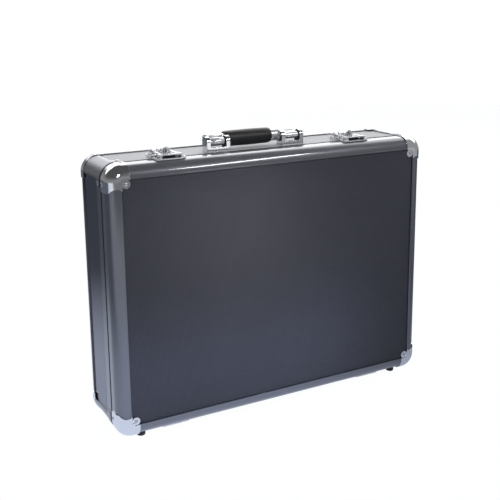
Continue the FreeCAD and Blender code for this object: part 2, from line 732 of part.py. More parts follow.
bracket = cut("bracket", fuse("bracket_body", bracket_parts),
              rod("bracket_bore", "x", (bx - s.bracket_half, hp_y, hp_z), s.handle_pin, s.bracket_half * 2))
keep(bracket, "handle_bracket_right")
keep(handle_copy("bracket_flip", bracket), "handle_bracket_left")
handle_pin = rod("handle_pin_rod", "x", (bx - s.bracket_half, hp_y, hp_z), s.handle_pin, s.bracket_half * 2)
keep(fuse("handle_pins", [handle_pin, handle_copy("handle_pin_flip", handle_pin)]), "handle_pins")

grip_y = y_at(s.grip_place)
end_half = s.bracket_half - s.post_thick - s.end_gap
end_near = bx - end_half


def end_body(word, near, stub, stub_length):
    """One bright end: eye on the pin, arm, knob behind it and a ferrule towards the grip."""
    solid = fuse(word + "_body", [
        rod(word + "_eye", "x", (near, hp_y, hp_z), s.end_pivot_radius, end_half * 2),
        box(word + "_arm", (near, hp_y, hp_z - s.end_pivot_radius),
            (near + end_half * 2, grip_y, hp_z + s.end_pivot_radius)),
        rod(word + "_knob", "x", (near, grip_y, hp_z), s.end_radius, end_half * 2),
        rod(word + "_ferrule", "x", (stub, grip_y, hp_z), s.ferrule_radius, stub_length)])
    bore = rod(word + "_bore", "x", (near, hp_y, hp_z), s.handle_pin + s.pin_clear, end_half * 2)
    return cut(word, solid, bore)


grip_start = hx - s.grip_left
grip_stop = hx + s.grip_right
far_end = hx - s.bracket_x + end_half
keep(end_body("right_end", end_near, grip_stop, end_near - grip_stop), "handle_end_right")
keep(end_body("left_end", hx - s.bracket_x - end_half, far_end, grip_start - far_end), "handle_end_left")
keep(rod("grip", "x", (grip_start, grip_y, hp_z), s.grip_radius, grip_stop - grip_start), "handle_grip")

# Check everything, then export one file per node

doc.recompute()
for thing in doc.Objects:
    if "Invalid" in thing.State or "Error" in thing.State:
        raise RuntimeError("failed feature: " + thing.Name)
for thing in nodes:
    if thing.Shape.isNull() or not thing.Shape.isValid() or not thing.Shape.Solids:
        raise RuntimeError("bad shape: " + thing.Label)
for thing in nodes:
    thing.Shape.exportStep("parts/" + thing.Label + ".step")
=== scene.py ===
import math

import bmesh
import bpy
from mathutils import Matrix, Vector
from mathutils.noise import noise as smooth_noise


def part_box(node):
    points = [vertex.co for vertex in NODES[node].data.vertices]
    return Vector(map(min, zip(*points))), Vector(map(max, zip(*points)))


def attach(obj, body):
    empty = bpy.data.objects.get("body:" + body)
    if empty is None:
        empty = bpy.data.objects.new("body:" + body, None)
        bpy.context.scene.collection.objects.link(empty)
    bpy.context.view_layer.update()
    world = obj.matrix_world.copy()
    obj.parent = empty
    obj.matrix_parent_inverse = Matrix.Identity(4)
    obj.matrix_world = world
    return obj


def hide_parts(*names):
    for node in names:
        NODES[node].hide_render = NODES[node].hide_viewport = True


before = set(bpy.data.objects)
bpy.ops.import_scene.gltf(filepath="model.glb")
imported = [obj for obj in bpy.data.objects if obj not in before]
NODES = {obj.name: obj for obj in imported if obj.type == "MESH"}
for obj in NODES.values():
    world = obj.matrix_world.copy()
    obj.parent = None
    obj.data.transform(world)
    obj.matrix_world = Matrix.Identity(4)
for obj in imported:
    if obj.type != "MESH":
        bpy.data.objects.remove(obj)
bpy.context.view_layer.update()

bl_info = {
    "name": "Carrying Case",
    "version": (1, 0, 0),
    "blender": (4, 5, 0),
    "location": "View3D > Sidebar > Case",
    "description": "Dresses the packed carrying case with finishes, pressed corners, latches and a liner",
    "category": "Object",
}

MM = 0.001
SIDES = ("left", "right")
CORNERS = ("bottom_right", "bottom_left", "top_right", "top_left")
EDGES = ("left", "right", "top", "bottom")

# Mesh limits: edges to shade smooth, to round and to dissolve in degrees, then lengths in metres

SMOOTH_ANGLE = 35.0
ROUND_ANGLE = 32.0
FLAT_ANGLE = 0.4
WELD = 2e-6
BLOCK_WELD = 1e-6
ON_AXIS = 1e-7

# Rounding of each kind of piece, as shares of the edge rounding

RAIL_ROUND = 0.7
BARREL_ROUND = 0.4
FERRULE_ROUND = 1.6
BRACKET_ROUND = 1.8

# A foot's outline from the middle of its sole: share of its radius, height in millimetres

FOOT_PROFILE = ((0.0, 0.8), (0.45, 0.7), (0.58, 0.0), (0.82, 0.0), (0.94, 0.5), (1.0, 1.6))


# Settings a user would change

def length_prop(name, description, default):
    return bpy.props.FloatProperty(name=name, description=description, default=default,
                                   unit="LENGTH", precision=5)


def colour_prop(name, description, default):
    return bpy.props.FloatVectorProperty(name=name, description=description, default=default,
                                         subtype="COLOR", size=3, min=0.0, max=1.0)


def angle_prop(name, description, degrees):
    return bpy.props.FloatProperty(name=name, description=description,
                                   default=math.radians(degrees), subtype="ANGLE")


def factor_prop(name, description, default):
    return bpy.props.FloatProperty(name=name, description=description, default=default, min=0.0)


class CaseFinishes(bpy.types.PropertyGroup):
    """Colours of the case's finishes, in linear light. The top colour is painted light, a lit copy of the
    side sheet and seam strip; the colour for the fittings' openings is painted shade, and the screws'
    dark colour is partly painted shade.
    """
    gunmetal: colour_prop("Gunmetal", "Anodised frame rails", (0.135, 0.140, 0.165))
    strip: colour_prop("Seam strip", "Bright extrusion beside the seam", (0.33, 0.34, 0.37))
    sheet: colour_prop("Side sheet", "Smooth dark sheet of the sides", (0.17, 0.178, 0.205))
    # Painted light: a lighter copy of the side sheet and seam strip, for the faces that look up at the
    # lamps
    top: colour_prop("Top sheet", "Brighter satin sheet of the top", (0.50, 0.515, 0.535))
    grain: colour_prop("Grain sheet", "Embossed sheet of the lid", (0.047, 0.048, 0.060))
    chrome: colour_prop("Chrome", "Plated corners and fittings", (0.84, 0.85, 0.88))
    steel: colour_prop("Steel", "Pins, hinges and rivets", (0.58, 0.59, 0.61))
    grip: colour_prop("Grip", "Glossy black moulding", (0.010, 0.010, 0.012))
    rubber: colour_prop("Rubber", "Feet and seal", (0.018, 0.018, 0.019))
    # Painted shade: a dark colour put on faces inside the fittings' openings and key slots, where shade
    # falls
    recess: colour_prop("Recess", "Blackened openings of the fittings", (0.014, 0.014, 0.016))
    # Screw heads whose dark colour is also painted shade for the holes in the latch ears
    screw: colour_prop("Screws", "Dark steel screw heads", (0.10, 0.10, 0.11))
    liner: colour_prop("Liner", "Soft charcoal liner", (0.050, 0.050, 0.056))


class CaseSizes(bpy.types.PropertyGroup):
    """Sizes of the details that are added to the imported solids."""
    grain_pitch: length_prop("Grain pitch", "Distance between embossed diamonds", 3.0 * MM)
    grain_height: length_prop("Grain height", "How far a diamond stands out", 0.55 * MM)
    edge_round: length_prop("Edge rounding", "Rounded edges of pressed metal", 0.45 * MM)
    rivet_radius: length_prop("Rivet radius", "Radius of a rivet head", 2.3 * MM)
    rivet_height: length_prop("Rivet height", "Height of a rivet head", 0.9 * MM)
    screw_radius: length_prop("Screw radius", "Radius of a latch screw's head", 2.4 * MM)
    screw_height: length_prop("Screw height", "Height of a latch screw's head", 0.8 * MM)
    screw_inset: length_prop("Screw inset", "Screw's distance from the end of its ear", 3.6 * MM)
    # The latch's dark opening is painted shade; this is its half width
    window_half: length_prop("Window", "Half the width of the latch's dark opening", 12.5 * MM)
    elbow_radius: length_prop("Elbow", "Radius of the handle's left knuckle", 5.3 * MM)
    # The next four sizes shape a dark rubber strip that is painted shadow: it stands in for the shadow
    # line of the seam gap
    shadow_line_gap: length_prop("Seal gap", "Distance of the rubber seal behind the lid's rail", 0.7 * MM)
    shadow_line_width: length_prop("Seal width", "Visible width of the rubber seal", 1.5 * MM)
    shadow_line_depth: length_prop("Seal depth", "How deep the rubber seal is let into the rail", 0.4 * MM)
    shadow_line_stand: length_prop("Seal height", "How far the rubber seal stands out", 0.42 * MM)
    wave_pitch: length_prop("Liner wave", "Distance between the liner's crests", 26 * MM)
    wave_depth: length_prop("Liner depth", "Depth between the liner's crests", 6 * MM)


class CaseStage(bpy.types.PropertyGroup):
    """Camera and light of the studio."""
    azimuth: angle_prop("Azimuth", "Camera's turn to the left of the front", -28.39)
    elevation: angle_prop("Elevation", "Camera's tilt above the horizon", 12.26)
    roll: angle_prop("Roll", "Camera's roll", -0.65)
    eye: bpy.props.FloatVectorProperty(name="Eye", description="Where the camera stands",
                                       default=(-0.5349, -0.9542, 0.5169), subtype="TRANSLATION")
    lens: bpy.props.FloatProperty(
        name="Lens", description="Focal length in millimetres on a 36 mm sensor", default=60.289)
    shift_x: bpy.props.FloatProperty(name="Shift X", description="Framing shift", default=0.0024)
    shift_y: bpy.props.FloatProperty(name="Shift Y", description="Framing shift", default=-0.1075)
    key_power: factor_prop("Key power", "Soft light above the front, in watts", 0.09)
    cool_power: factor_prop("Cool power", "Low cool light before the front's foot, in watts", 0.19)
    back_power: factor_prop("Back power", "Soft light above and behind, in watts", 10.0)
    over_power: factor_prop("Over power", "Wide soft light overhead, in watts", 6.0)
    strip_power: factor_prop(
        "Strip power", "Long light that draws the line on the top rail, in watts", 2.6)


# Shader maths: a socket that adds Math nodes as it is used in expressions

def math_step(operation, swapped=False):
    """A method that adds one Math node and returns its result."""
    def step(self, other):
        node = self.tree.nodes.new("ShaderNodeMath")
        node.operation = operation
        for index, value in enumerate((other, self) if swapped else (self, other)):
            if isinstance(value, Wire):
                self.tree.links.new(value.socket, node.inputs[index])
            else:
                node.inputs[index].default_value = value
        return Wire(self.tree, node.outputs[0])
    return step


class Wire:
    """A value socket that can be used in plain arithmetic."""

    def __init__(self, tree, socket):
        self.tree = tree
        self.socket = socket

    __add__ = math_step("ADD")
    __sub__ = math_step("SUBTRACT")
    __rsub__ = math_step("SUBTRACT", swapped=True)
    __mul__ = math_step("MULTIPLY")
    __truediv__ = math_step("DIVIDE")
    most = math_step("MAXIMUM")
    least = math_step("MINIMUM")


# Sockets of the Mix node in its colour mode

MIX_FACTOR, MIX_FIRST, MIX_SECOND, MIX_RESULT = 0, 6, 7, 2


class Finish:
    """One node material built up from expressions."""

    def __init__(self, name, tree=None):
        if tree is None:
            self.material = bpy.data.materials.new(name)
            self.material.use_nodes = True
            tree = self.material.node_tree
        self.tree = tree
        tree.nodes.clear()

    def node(self, kind, inputs=None, **settings):
        """Add a node: settings first, then values or links of its sockets by name or index."""
        made = self.tree.nodes.new(kind)
        for key, value in settings.items():
            setattr(made, key, value)
        for key, value in (inputs or {}).items():
            socket = made.inputs[key]
            if isinstance(value, Wire):
                self.tree.links.new(value.socket, socket)
            else:
                socket.default_value = value
        return made

    def out(self, made, key=0):
        return Wire(self.tree, made.outputs[key])

    def object_space(self, scale=(1.0, 1.0, 1.0)):
        place = self.node("ShaderNodeTexCoord")
        return self.out(self.node("ShaderNodeMapping", {"Vector": self.out(place, "Object"),
                                                        "Scale": scale}))

    def parts(self, vector):
        """The X, Y and Z of a vector."""
        made = self.node("ShaderNodeSeparateXYZ", {0: vector})
        return [self.out(made, axis) for axis in "XYZ"]

    def noise(self, vector, scale, detail=3.0, rough=0.55):
        made = self.node("ShaderNodeTexNoise", {"Vector": vector, "Scale": scale, "Detail": detail,
                                                "Roughness": rough})
        return self.out(made, "Fac")

    def around(self, middle, *swings):
        """A level that swings about its middle with one or more noises."""
        level = middle
        for noise, swing in swings:
            level = (noise - 0.5) * swing + level
        return level

    def ramp(self, value, span, levels, smooth=False):
        """Carry a value that crosses a span from the first level to the second."""
        made = self.node("ShaderNodeMapRange", dict(enumerate((value, *span, *levels))),
                         interpolation_type="SMOOTHSTEP" if smooth else "LINEAR")
        return self.out(made)

    def tint(self, factor, first, second):
        sockets = {MIX_FACTOR: factor, MIX_FIRST: first, MIX_SECOND: second}
        return self.out(self.node("ShaderNodeMix", sockets, data_type="RGBA"), MIX_RESULT)

    def shades(self, factor, colour, dark, light):
        """One colour that varies between a darker and a lighter gain."""
        first, second = ((*(part * gain for part in colour), 1.0) for gain in (dark, light))
        return self.tint(factor, first, second)

    def bump(self, height, strength, distance):
        made = self.node("ShaderNodeBump", {"Height": height, "Strength": strength,
                                            "Distance": distance})
        return self.out(made)

    def rays(self):
        """Whether a ray is seen straight from the camera, and whether it is a reflection."""
        seen = self.node("ShaderNodeLightPath")
        camera = self.out(seen, "Is Camera Ray").most(self.out(seen, "Is Transmission Ray"))
        return camera, self.out(seen, "Is Glossy Ray")

    def close(self, shader, output="ShaderNodeOutputMaterial"):
        """End the tree with a shader."""
        self.node(output, {"Surface": self.out(shader)})

    def surface(self, **sockets):
        """Finish with a Principled shader; spaces in socket names are written as underscores."""
        self.close(self.node("ShaderNodeBsdfPrincipled",
                             {key.replace("_", " "): value for key, value in sockets.items()}))
        return self.material


FINISHES = {}


def brushed(name, colour, along, rough, metallic=1.0, coat=0.0):
    """Drawn metal with fine streaks along one axis, under a clear anodised skin."""
    shade = Finish(name)
    fine, drawn = 420.0, 6.0
    stretch = tuple(drawn if axis == along else fine for axis in "xyz")
    streak = shade.noise(shade.object_space(stretch), 1.0, detail=4.0, rough=0.6)
    cloud = shade.noise(shade.object_space(), 9.0)
    return shade.surface(
        Base_Color=shade.shades(streak * 0.6 + cloud * 0.4, colour, dark=0.86, light=1.14),
        Metallic=metallic, Roughness=shade.around(rough, (streak, 0.16), (cloud, 0.10)),
        Coat_Weight=coat, Coat_Roughness=0.08, Coat_IOR=1.8,
        Normal=shade.bump(streak, strength=0.05, distance=0.0002))


def smooth_sheet(name, colour, rough, metallic=1.0):
    """Smooth lacquered metallic sheet."""
    shade = Finish(name)
    cloud = shade.noise(shade.object_space(), 7.0)
    fleck = shade.noise(shade.object_space(), 900.0, detail=2.0)
    return shade.surface(
        Base_Color=shade.shades(cloud * 0.7 + fleck * 0.3, colour, dark=0.88, light=1.12),
        Metallic=metallic, Roughness=shade.around(rough, (cloud, 0.06)),
        Normal=shade.bump(fleck, strength=0.03, distance=0.0001))


def grain_sheet_crest_highlight(name, colour, face, height):
    """Dark metallic sheet of the lid, with painted highlight: lighter towards the crests of its grain."""
    shade = Finish(name)
    depth = shade.parts(shade.object_space())[1]
    crest = ((face - depth) / height).most(0.0).least(1.0)
    cloud = shade.noise(shade.object_space(), 5.0, detail=4.0)
    # Painted highlight: the crests' lighter colour stands in for the light they catch
    return shade.surface(
        Base_Color=shade.shades(crest * 0.85 + cloud * 0.15, colour, dark=0.45, light=3.2),
        Metallic=0.42, Roughness=shade.around(0.36, (cloud, 0.12)))


def plated(name, colour, rough):
    """Bright plating with faint polish marks and smudges."""
    shade = Finish(name)
    smudge = shade.noise(shade.object_space(), 60.0, detail=4.0)
    polish = shade.noise(shade.object_space((900.0, 900.0, 160.0)), 1.0)
    return shade.surface(
        Base_Color=shade.shades(smudge, colour, dark=0.93, light=1.04),
        Metallic=1.0, Roughness=shade.around(rough, (smudge, 0.10), (polish, 0.04)),
        Normal=shade.bump(polish, strength=0.02, distance=0.0001))


def cast(name, colour):
    """Plated casting: bright, a little cloudy, so it takes soft light as well as reflections."""
    shade = Finish(name)
    cloud = shade.noise(shade.object_space(), 90.0, detail=4.0)
    pit = shade.noise(shade.object_space(), 800.0, detail=2.0)
    return shade.surface(
        Base_Color=shade.shades(cloud, colour, dark=0.94, light=1.08),
        Metallic=0.62, Roughness=shade.around(0.20, (cloud, 0.12)),
        Coat_Weight=0.3, Coat_Roughness=0.06,
        Normal=shade.bump(pit, strength=0.02, distance=0.0001))


def moulded(name, colour, rough):
    """Moulded plastic or rubber with a faint skin."""
    shade = Finish(name)
    skin = shade.noise(shade.object_space(), 260.0)
    cloud = shade.noise(shade.object_space(), 22.0, detail=2.0)
    return shade.surface(
        Base_Color=shade.shades(cloud, colour, dark=0.80, light=1.25),
        Roughness=shade.around(rough, (cloud, 0.08), (skin, 0.06)),
        Normal=shade.bump(skin, strength=0.05, distance=0.0002))


def plush(name, colour):
    """Charcoal fibre of the liner and lining."""
    shade = Finish(name)
    fibre = shade.noise(shade.object_space(), 1400.0, detail=4.0, rough=0.7)
    nap = shade.noise(shade.object_space(), 40.0)
    return shade.surface(
        Base_Color=shade.shades(fibre * 0.6 + nap * 0.4, colour, dark=0.65, light=1.5),
        Roughness=shade.around(0.92, (nap, 0.10)), Sheen_Weight=0.25, Sheen_Roughness=0.5,
        Normal=shade.bump(fibre, strength=0.45, distance=0.0006))


def make_finishes(look, sizes):
    """Build every finish under the name that the pieces ask for."""
    for along in "xyz":
        FINISHES["gunmetal_" + along] = brushed("gunmetal_" + along, look.gunmetal, along,
                                                rough=0.34, metallic=0.50, coat=0.9)
        FINISHES["strip_" + along] = brushed("strip_" + along, look.strip, along, rough=0.30)
    # Painted light: the seam strip's top takes the lighter top colour, a lit copy of the strip on the
    # other edges
    FINISHES["painted_light_strip_top"] = brushed("painted_light_strip_top", look.top, "x", rough=0.60, metallic=0.30)
    FINISHES["sheet"] = smooth_sheet("side_sheet", look.sheet, rough=0.15)
    # Painted light: the top panel takes the lighter top colour, a lit copy of the side sheet
    FINISHES["painted_light_top_sheet"] = smooth_sheet("painted_light_top_sheet", look.top, rough=0.58, metallic=0.30)
    FINISHES["grain"] = grain_sheet_crest_highlight("grain_sheet_crest_highlight", look.grain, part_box("front_panel")[0][1],
                                    sizes.grain_height)
    FINISHES["chrome"] = plated("chrome", look.chrome, rough=0.12)
    FINISHES["cast"] = cast("plated_casting", look.chrome)
    FINISHES["steel"] = plated("steel", look.steel, rough=0.28)
    FINISHES["grip"] = moulded("black_grip", look.grip, rough=0.44)
    # Painted shade for the faces inside the fittings' openings and key slots
    FINISHES["recess"] = moulded("dark_recess", look.recess, rough=0.50)
    # Dark screw heads: partly screw colour, partly painted shade for the holes in the latch ears
    FINISHES["screw"] = plated("screw_steel_and_hole_shade", look.screw, rough=0.30)
    FINISHES["rubber"] = moulded("rubber", look.rubber, rough=0.62)
    FINISHES["liner"] = plush("liner_cloth", look.liner)


# Mesh helpers

def linked(name, data):
    """A new object in the scene."""
    made = bpy.data.objects.new(name, data)
    bpy.context.scene.collection.objects.link(made)
    return made


def paint(node, finish):
    """Give a carried-over solid its finish."""
    thing = NODES[node]
    thing.data.materials.clear()
    thing.data.materials.append(FINISHES[finish])


def new_piece(name, bm, finish, sharp=SMOOTH_ANGLE):
    """Turn a bmesh into a smooth-shaded object at the origin."""
    mesh = bpy.data.meshes.new(name)
    bm.to_mesh(mesh)
    bm.free()
    for face in mesh.polygons:
        face.use_smooth = True
    mesh.set_sharp_from_angle(angle=math.radians(sharp))
    mesh.materials.append(FINISHES[finish])
    return linked(name, mesh)


def settle(piece, body, slot, *nodes):
    """Ride a piece on its body and hide the solids it stands for; the slot is not used."""
    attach(piece, body)
    if nodes:
        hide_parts(*nodes)


def middle_of(node):
    """Centre of a node's box."""
    low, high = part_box(node)
    return Vector([(first + last) / 2 for first, last in zip(low, high)])


def merged_copy(node):
    """A welded bmesh of a carried-over solid, with its flat faces joined."""
    bm = bmesh.new()
    bm.from_mesh(NODES[node].data)
    bmesh.ops.remove_doubles(bm, verts=bm.verts[:], dist=WELD)
    bmesh.ops.dissolve_limit(bm, angle_limit=math.radians(FLAT_ANGLE), verts=bm.verts[:],
                             edges=bm.edges[:])
    return bm


def round_edges(bm, width):
    """Round every edge sharper than the rounding angle."""
    limit = math.radians(ROUND_ANGLE)
    sharp = [edge for edge in bm.edges
             if len(edge.link_faces) == 2 and edge.calc_face_angle() > limit]
    bmesh.ops.bevel(bm, geom=sharp, offset=width, segments=2, profile=0.5, affect="EDGES",
                    clamp_overlap=True)


def keep_result(piece, modifier):
    """Keep a modifier's result as the piece's plain mesh."""
    graph = bpy.context.evaluated_depsgraph_get()
    mesh = bpy.data.meshes.new_from_object(piece.evaluated_get(graph))
    piece.modifiers.remove(modifier)
    old = piece.data
    piece.data = mesh
    mesh.name = piece.name
    bpy.data.meshes.remove(old)


def softened(node, name, finish, width, body, slot, dark=None):
    """A solid with rounded edges, in place of the sharp one; dark picks the faces that get painted shade.

    Weighted normals keep the large flat faces straight beside the rounded edges."""
    bm = merged_copy(node)
    round_edges(bm, width)
    piece = new_piece(name, bm, finish)
    modifier = piece.modifiers.new("weigh", "WEIGHTED_NORMAL")
    modifier.keep_sharp = True
    keep_result(piece, modifier)
    # Painted shade: the faces that dark picks take the dark painted shade colour, in place of the shade
    # inside openings
    if dark:
        piece.data.materials.append(FINISHES["recess"])
        for face in piece.data.polygons:
            face.material_index = int(dark(face.center))
    settle(piece, body, slot, node)


def joined(name, pieces):
    """Unite overlapping closed pieces into the first one."""
    base = pieces[0]
    for other in pieces[1:]:
        modifier = base.modifiers.new("join", "BOOLEAN")
        modifier.operation = "UNION"
        modifier.object = other
        keep_result(base, modifier)
        mesh = other.data
        bpy.data.objects.remove(other)
        bpy.data.meshes.remove(mesh)
    base.name = base.data.name = name
    base.data.set_sharp_from_angle(angle=math.radians(SMOOTH_ANGLE))
    return base


def add_box(bm, low, high):
    """Add a closed box between two corners."""
    for vert in bmesh.ops.create_cube(bm, size=1.0)["verts"]:
        vert.co = [last if part > 0.0 else first
                   for first, last, part in zip(low, high, vert.co)]


def rounded_block(name, low, high, radius, finish, segments):
    """A box between two corners with all its edges rounded."""
    bm = bmesh.new()
    add_box(bm, low, high)
    bmesh.ops.bevel(bm, geom=bm.edges[:], offset=radius, segments=segments, profile=0.5,
                    affect="EDGES")
    bmesh.ops.remove_doubles(bm, verts=bm.verts[:], dist=BLOCK_WELD)
    return new_piece(name, bm, finish)


def lathe(bm, profile, centre, axis, sides):
    """Turn (radius, distance) points about an axis; the ends close on the axis."""
    forward = Vector(axis).normalized()
    across = forward.orthogonal().normalized()
    over = forward.cross(across)
    rings = []
    for radius, distance in profile:
        middle = Vector(centre) + forward * distance
        if radius < ON_AXIS:
            rings.append([bm.verts.new(middle)])
            continue
        ring = []
        for k in range(sides):
            turn = 2 * math.pi * k / sides
            spoke = across * math.cos(turn) + over * math.sin(turn)
            ring.append(bm.verts.new(middle + spoke * radius))
        rings.append(ring)
    for low, high in zip(rings, rings[1:]):
        for k in range(sides):
            after = (k + 1) % sides
            corners = [low[k % len(low)], low[after % len(low)],
                       high[after % len(high)], high[k % len(high)]]
            unique = list(dict.fromkeys(corners))
            if len(unique) > 2:
                bm.faces.new(unique)
    bmesh.ops.recalc_face_normals(bm, faces=bm.faces[:])


def islands(node):
    """Centre, lowest and highest corner of each loose solid of a node."""
    bm = merged_copy(node)
    left = set(bm.verts)
    found = []
    while left:
        stack = [left.pop()]
        group = []
        while stack:
            vert = stack.pop()
            group.append(vert.co.copy())
            for edge in vert.link_edges:
                other = edge.other_vert(vert)
                if other in left:
                    left.remove(other)
                    stack.append(other)
        low = Vector([min(co[i] for co in group) for i in range(3)])
        high = Vector([max(co[i] for co in group) for i in range(3)])
        found.append(((low + high) / 2, low, high))
    bm.free()
    return sorted(found, key=lambda entry: tuple(round(v, 5) for v in entry[0]))


# Geometry node helpers

class Grower:
    """A geometry tree with named float inputs, to which nodes are added and linked by socket."""

    def __init__(self, name, inputs):
        self.tree = bpy.data.node_groups.new(name, "GeometryNodeTree")
        face = self.tree.interface
        face.new_socket("Geometry", in_out="INPUT", socket_type="NodeSocketGeometry")
        for word in inputs:
            face.new_socket(word, in_out="INPUT", socket_type="NodeSocketFloat")
        face.new_socket("Geometry", in_out="OUTPUT", socket_type="NodeSocketGeometry")
        self.source = self.tree.nodes.new("NodeGroupInput")
        self.sink = self.tree.nodes.new("NodeGroupOutput")

    def add(self, kind, inputs=None, **settings):
        made = self.tree.nodes.new(kind)
        for key, value in settings.items():
            setattr(made, key, value)
        for key, value in (inputs or {}).items():
            if isinstance(value, bpy.types.NodeSocket):
                self.tree.links.new(value, made.inputs[key])
            else:
                made.inputs[key].default_value = value
        return made

    def scatter(self, shape, material):
        """Set a shape on every point, turned to the point's facing, and end the tree."""
        facing = self.add("GeometryNodeInputNamedAttribute", {"Name": "facing"},
                          data_type="FLOAT_VECTOR")
        turned = self.add("FunctionNodeAlignRotationToVector",
                          {"Vector": facing.outputs["Attribute"]}, axis="Z")
        points = self.add("GeometryNodeMeshToPoints", {"Mesh": self.source.outputs["Geometry"]})
        placed = self.add("GeometryNodeInstanceOnPoints", {
            "Points": points.outputs[0], "Instance": shape.outputs[0],
            "Rotation": turned.outputs[0]})
        real = self.add("GeometryNodeRealizeInstances", {"Geometry": placed.outputs[0]})
        coat = self.add("GeometryNodeSetMaterial", {"Geometry": real.outputs[0],
                                                    "Material": material})
        self.tree.links.new(coat.outputs[0], self.sink.inputs[0])
        return self.tree


def grown(name, places, tree, radius, height):
    """Set a tree's shape on places, each a point and its facing, and keep the plain mesh."""
    mesh = bpy.data.meshes.new(name)
    mesh.from_pydata([place for place, facing in places], [], [])
    attribute = mesh.attributes.new("facing", "FLOAT_VECTOR", "POINT")
    for item, (place, facing) in zip(attribute.data, places):
        item.vector = facing
    piece = linked(name, mesh)
    modifier = piece.modifiers.new("grow", "NODES")
    modifier.node_group = tree
    values = {"Radius": radius, "Height": height}
    for item in tree.interface.items_tree:
        if item.in_out == "INPUT" and item.name in values:
            modifier[item.identifier] = float(values[item.name])
    keep_result(piece, modifier)
    return piece


def rivet_tree(name, material):
    """Domed rivet heads on points, each turned to face outwards."""
    grower = Grower(name, ("Radius", "Height"))
    radius = grower.source.outputs["Radius"]
    flat = grower.add("ShaderNodeMath", {0: grower.source.outputs["Height"], 1: radius},
                      operation="DIVIDE")
    squash = grower.add("ShaderNodeCombineXYZ", {"X": 1.0, "Y": 1.0, "Z": flat.outputs[0]})
    ball = grower.add("GeometryNodeMeshUVSphere", {"Segments": 20, "Rings": 12, "Radius": radius})
    dome = grower.add("GeometryNodeTransform", {"Geometry": ball.outputs[0],
                                                "Scale": squash.outputs[0]})
    smooth = grower.add("GeometryNodeSetShadeSmooth", {"Geometry": dome.outputs[0]})
    return grower.scatter(smooth, material)


def diamond_tree(name, material):
    """Low diamonds on points, each a small four-sided pyramid turned to face the front."""
    grower = Grower(name, ("Radius", "Height"))
    pyramid = grower.add("GeometryNodeMeshCone", {
        "Vertices": 4, "Radius Top": 0.0, "Radius Bottom": grower.source.outputs["Radius"],
        "Depth": grower.source.outputs["Height"]}, fill_type="NONE")
    return grower.scatter(pyramid, material)


# Pieces

class CASE_OT_frame(bpy.types.Operator):
    """Give the rails, corner posts, sheets, hinges and pins their finishes, and lay a dark rubber strip
    along the seam as painted shadow
    """
    bl_idname = "case.frame"
    bl_label = "Frame and sheets"

    def execute(self, context):
        sizes = context.scene.case_sizes
        for edge in EDGES:
            along = "z" if edge in SIDES else "x"
            softened("lid_rail_" + edge, "lid_edge_" + edge, "gunmetal_" + along,
                     sizes.edge_round * RAIL_ROUND, "lid", "frame_rail")
            paint("rear_rail_" + edge, "gunmetal_" + along)
            # The seam rail's top edge gets the painted-light top finish; the other edges get the plain
            # strip
            paint("seam_rail_" + edge, "painted_light_strip_top" if edge == "top" else "strip_" + along)
        for corner in CORNERS:
            paint("corner_post_" + corner, "strip_y")
        for node in ("side_panel_left", "side_panel_right", "bottom_panel", "rear_panel"):
            paint(node, "sheet")
        # Painted light: the top panel gets the lit copy of the side sheet
        paint("top_panel", "painted_light_top_sheet")
        for node in ("hinge_base_leaves", "hinge_lid_leaves", "hinge_pins", "lever_pins",
                     "handle_pins", "hook_pin_left", "hook_pin_right"):
            paint(node, "steel")
        paint("front_panel", "grain")
        paint("base_lining", "liner")
        self.seam_shadow_line(sizes)
        return {"FINISHED"}

    def seam_shadow_line(self, sizes):
        """Painted seam shadow: a thin dark rubber line in the bright rails behind the seam, standing in
        for the shadow of the seam gap; left out on the hinges' side.
        """
        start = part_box("lid_rail_top")[1][1] + sizes.shadow_line_gap
        bm = bmesh.new()
        for edge in ("left", "right", "top"):
            across = 0 if edge in SIDES else 2
            low, high = (list(corner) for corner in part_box("seam_rail_" + edge))
            low[1], high[1] = start, start + sizes.shadow_line_width
            if edge == "left":
                high[across] = low[across] + sizes.shadow_line_depth
                low[across] -= sizes.shadow_line_stand
            else:
                low[across] = high[across] - sizes.shadow_line_depth
                high[across] += sizes.shadow_line_stand
            add_box(bm, low, high)
        settle(new_piece("painted_seam_shadow", bm, "rubber"), "base", "rubber_foot")


class CASE_OT_grain(bpy.types.Operator):
    """Emboss the lid's sheet with rows of small diamonds"""
    bl_idname = "case.grain"
    bl_label = "Embossed lid sheet"

    def execute(self, context):
        sizes = context.scene.case_sizes
        pitch = sizes.grain_pitch
        margin = pitch * 0.6
        radius = pitch * 0.46
        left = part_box("lid_rail_left")[1][0] + margin
        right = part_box("lid_rail_right")[0][0] - margin
        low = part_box("lid_rail_bottom")[1][2] + margin
        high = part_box("lid_rail_top")[0][2] - margin
        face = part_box("front_panel")[0][1]
        places = []
        for row in range(int((high - low) / (pitch / 2)) + 1):
            start = left + (pitch / 2 if row % 2 else 0.0)
            for column in range(int((right - start) / pitch) + 1):
                place = (start + column * pitch, face, low + row * pitch / 2)
                places.append((place, (0.0, -1.0, 0.0)))
        tree = diamond_tree("diamond_grain", FINISHES["grain"])
        piece = grown("lid_grain", places, tree, radius, sizes.grain_height)
        settle(piece, "lid", "front_panel")
        return {"FINISHED"}


class CASE_OT_corners(bpy.types.Operator):
    """Round the edges of the pressed corner caps"""
    bl_idname = "case.corners"
    bl_label = "Corner caps"

    def execute(self, context):
        width = context.scene.case_sizes.edge_round
        for corner in CORNERS:
            for node, name, body in (("front_cap_", "lid_corner_", "lid"),
                                     ("rear_cap_", "rear_corner_", "base")):
                softened(node + corner, name + corner, "chrome", width, body, "corner_cap")
        return {"FINISHED"}


